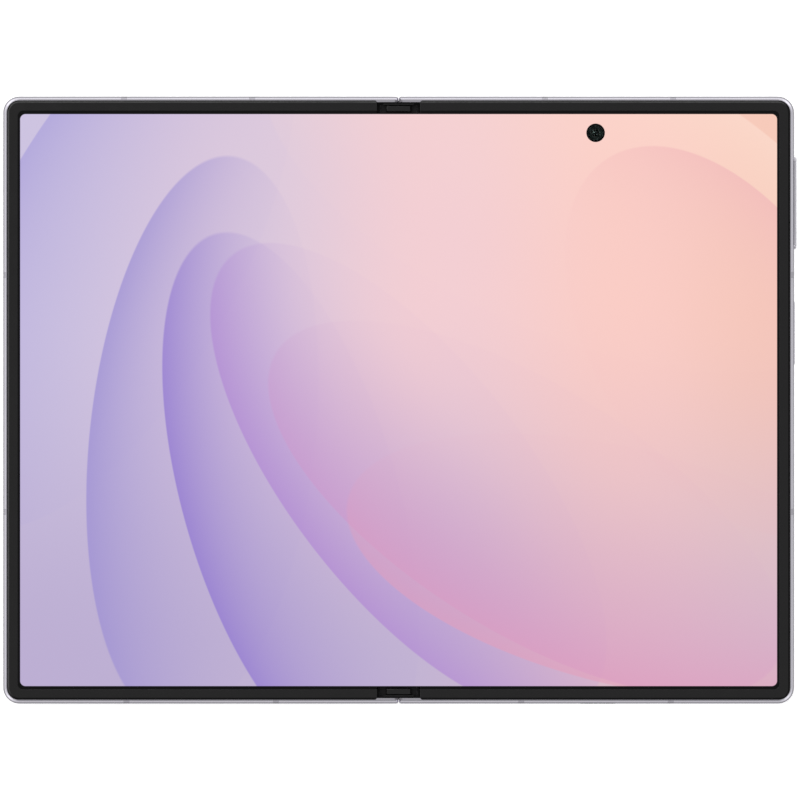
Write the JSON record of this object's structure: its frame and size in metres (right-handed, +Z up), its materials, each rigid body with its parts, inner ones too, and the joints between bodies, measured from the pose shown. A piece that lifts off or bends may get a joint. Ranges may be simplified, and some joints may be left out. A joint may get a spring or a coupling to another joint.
{
  "type": "foldable phone",
  "caption": "Wide book-fold phone: two thin wings with one bending screen fold up and shut about a geared spine hinge; side buttons, rear cameras and a card tray.",
  "frame": {"origin": "under the middle of the fold, on the surface that the camera rings rest on, with the phone open and on its back", "axes": "+X across both wings to the button side, +Y along the fold to the top edge, +Z up out of the screen"},
  "size_m": [0.1619, 0.1238, 0.0067],
  "materials": {
    "frame_metal": "satin anodised, pale lavender silver",
    "button_metal": "satin anodised",
    "spine_metal": "satin anodised",
    "hinge_steel": "fine ground",
    "plate_steel": "rolled sheet",
    "fastener_steel": "bright",
    "gear_brass": "cut teeth",
    "cap_plastic": "fine matt",
    "bezel_plastic": "soft matt",
    "screen": "glossy flexible laminate, lit",
    "antenna_plastic": "satin, near the metal's colour",
    "rear_glass": "frosted back-painted glass",
    "cover_glass": "polished glass over a dark panel",
    "ring_metal": "polished edge",
    "lens_glass": "coated lens glass",
    "camera_black": "black barrel",
    "flash_lens": "diffusing lens",
    "board_green": "solder mask",
    "shield_tin": "tinned",
    "battery_foil": "foil pouch",
    "port_metal": "drawn shell",
    "speaker_plastic": "moulded",
    "flex_copper": "polyimide film",
    "cover_panel": "display panel"
  },
  "bodies": {
    "spine": {"spine_cover": "spine_metal", "hinge_bracket_top": "hinge_steel", "hinge_bracket_bottom": "hinge_steel", "sync_bracket": "hinge_steel", "hinge_cap_top": "cap_plastic", "hinge_cap_bottom": "cap_plastic", "fold_support_strip": "plate_steel", "gear_shafts": "fastener_steel", "torque_springs": "fastener_steel", "spine_screws": "fastener_steel", "display_fold": "screen", "hinge_flex_cables": "flex_copper"},
    "right_wing": {"right_frame": "frame_metal", "right_bezel": "bezel_plastic", "display_right": "screen", "right_support_plate": "plate_steel", "right_rotator_top": "hinge_steel", "right_rotator_bottom": "hinge_steel", "right_sync_rotator": "hinge_steel", "right_antenna_inlays": "antenna_plastic", "right_arm_screws": "fastener_steel", "rear_glass": "rear_glass", "camera_island": "frame_metal", "camera_rings": "ring_metal", "camera_lens_glass": "lens_glass", "rear_cameras": "camera_black", "flash_led": "flash_lens", "inner_camera": "camera_black", "main_board": "board_green", "board_shields": "shield_tin", "right_battery": "battery_foil", "charge_port": "port_metal", "charge_board": "board_green", "bottom_speaker": "speaker_plastic", "side_key_switches": "flex_copper"},
    "left_wing": {"left_frame": "frame_metal", "left_bezel": "bezel_plastic", "display_left": "screen", "left_support_plate": "plate_steel", "left_rotator_top": "hinge_steel", "left_rotator_bottom": "hinge_steel", "left_sync_rotator": "hinge_steel", "left_antenna_inlays": "antenna_plastic", "left_arm_screws": "fastener_steel", "cover_glass": "cover_glass", "cover_display": "cover_panel", "cover_camera": "camera_black", "left_battery": "battery_foil", "left_board": "board_green", "top_speaker": "speaker_plastic", "vibration_motor": "fastener_steel"},
    "right_wing_plate": {"right_wing_plate": "plate_steel"},
    "left_wing_plate": {"left_wing_plate": "plate_steel"},
    "idler_gear_1": {"idler_gear_1": "gear_brass"},
    "idler_gear_2": {"idler_gear_2": "gear_brass"},
    "idler_gear_3": {"idler_gear_3": "gear_brass"},
    "idler_gear_4": {"idler_gear_4": "gear_brass"},
    "volume_button": {"volume_button": "button_metal"},
    "power_button": {"power_button": "button_metal"},
    "card_tray": {"card_tray": "frame_metal"}
  },
  "joints": [
    {"name": "right_fold", "type": "hinge", "parent": "spine", "child": "right_wing", "pos_m": [0.00135, 0, 0.0054], "axis": [0, -1, 0], "range_deg": [0, 90], "deforming": ["display_fold", "hinge_flex_cables"]},
    {"name": "left_fold", "type": "hinge", "parent": "spine", "child": "left_wing", "pos_m": [-0.00135, 0, 0.0054], "axis": [0, 1, 0], "range_deg": [0, 90]},
    {"name": "right_plate_tilt", "type": "hinge", "parent": "right_wing", "child": "right_wing_plate", "pos_m": [0.0083, 0, 0.00542], "axis": [0, -1, 0], "range_deg": [0, 22]},
    {"name": "left_plate_tilt", "type": "hinge", "parent": "left_wing", "child": "left_wing_plate", "pos_m": [-0.0083, 0, 0.00542], "axis": [0, 1, 0], "range_deg": [0, 22]},
    {"name": "idler_1_spin", "type": "hinge", "parent": "spine", "child": "idler_gear_1", "pos_m": [0.00178, 0, 0.00389], "axis": [0, -1, 0], "range_deg": [-147, 0]},
    {"name": "idler_2_spin", "type": "hinge", "parent": "spine", "child": "idler_gear_2", "pos_m": [0.0006, 0, 0.00368], "axis": [0, -1, 0], "range_deg": [0, 147]},
    {"name": "idler_3_spin", "type": "hinge", "parent": "spine", "child": "idler_gear_3", "pos_m": [-0.0006, 0, 0.00368], "axis": [0, -1, 0], "range_deg": [-147, 0]},
    {"name": "idler_4_spin", "type": "hinge", "parent": "spine", "child": "idler_gear_4", "pos_m": [-0.00178, 0, 0.00389], "axis": [0, -1, 0], "range_deg": [0, 147]},
    {"name": "volume_press", "type": "slide", "parent": "right_wing", "child": "volume_button", "axis": [-1, 0, 0], "range_m": [0, 0.0003], "stiffness_N_per_m": 1500, "springref_m": -0.0004},
    {"name": "power_press", "type": "slide", "parent": "right_wing", "child": "power_button", "axis": [-1, 0, 0], "range_m": [0, 0.0002], "stiffness_N_per_m": 1500, "springref_m": -0.0004},
    {"name": "tray_slide", "type": "slide", "parent": "left_wing", "child": "card_tray", "axis": [0, -1, 0], "range_m": [0, 0.02]}
  ],
  "couplings": [
    {"joint": "left_fold", "follows": "right_fold", "ratio": 1},
    {"joint": "right_plate_tilt", "follows": "right_fold", "ratio": 0.2444},
    {"joint": "left_plate_tilt", "follows": "right_fold", "ratio": 0.2444},
    {"joint": "idler_1_spin", "follows": "right_fold", "ratio": -1.625},
    {"joint": "idler_2_spin", "follows": "right_fold", "ratio": 1.625},
    {"joint": "idler_3_spin", "follows": "right_fold", "ratio": -1.625},
    {"joint": "idler_4_spin", "follows": "right_fold", "ratio": 1.625}
  ]
}
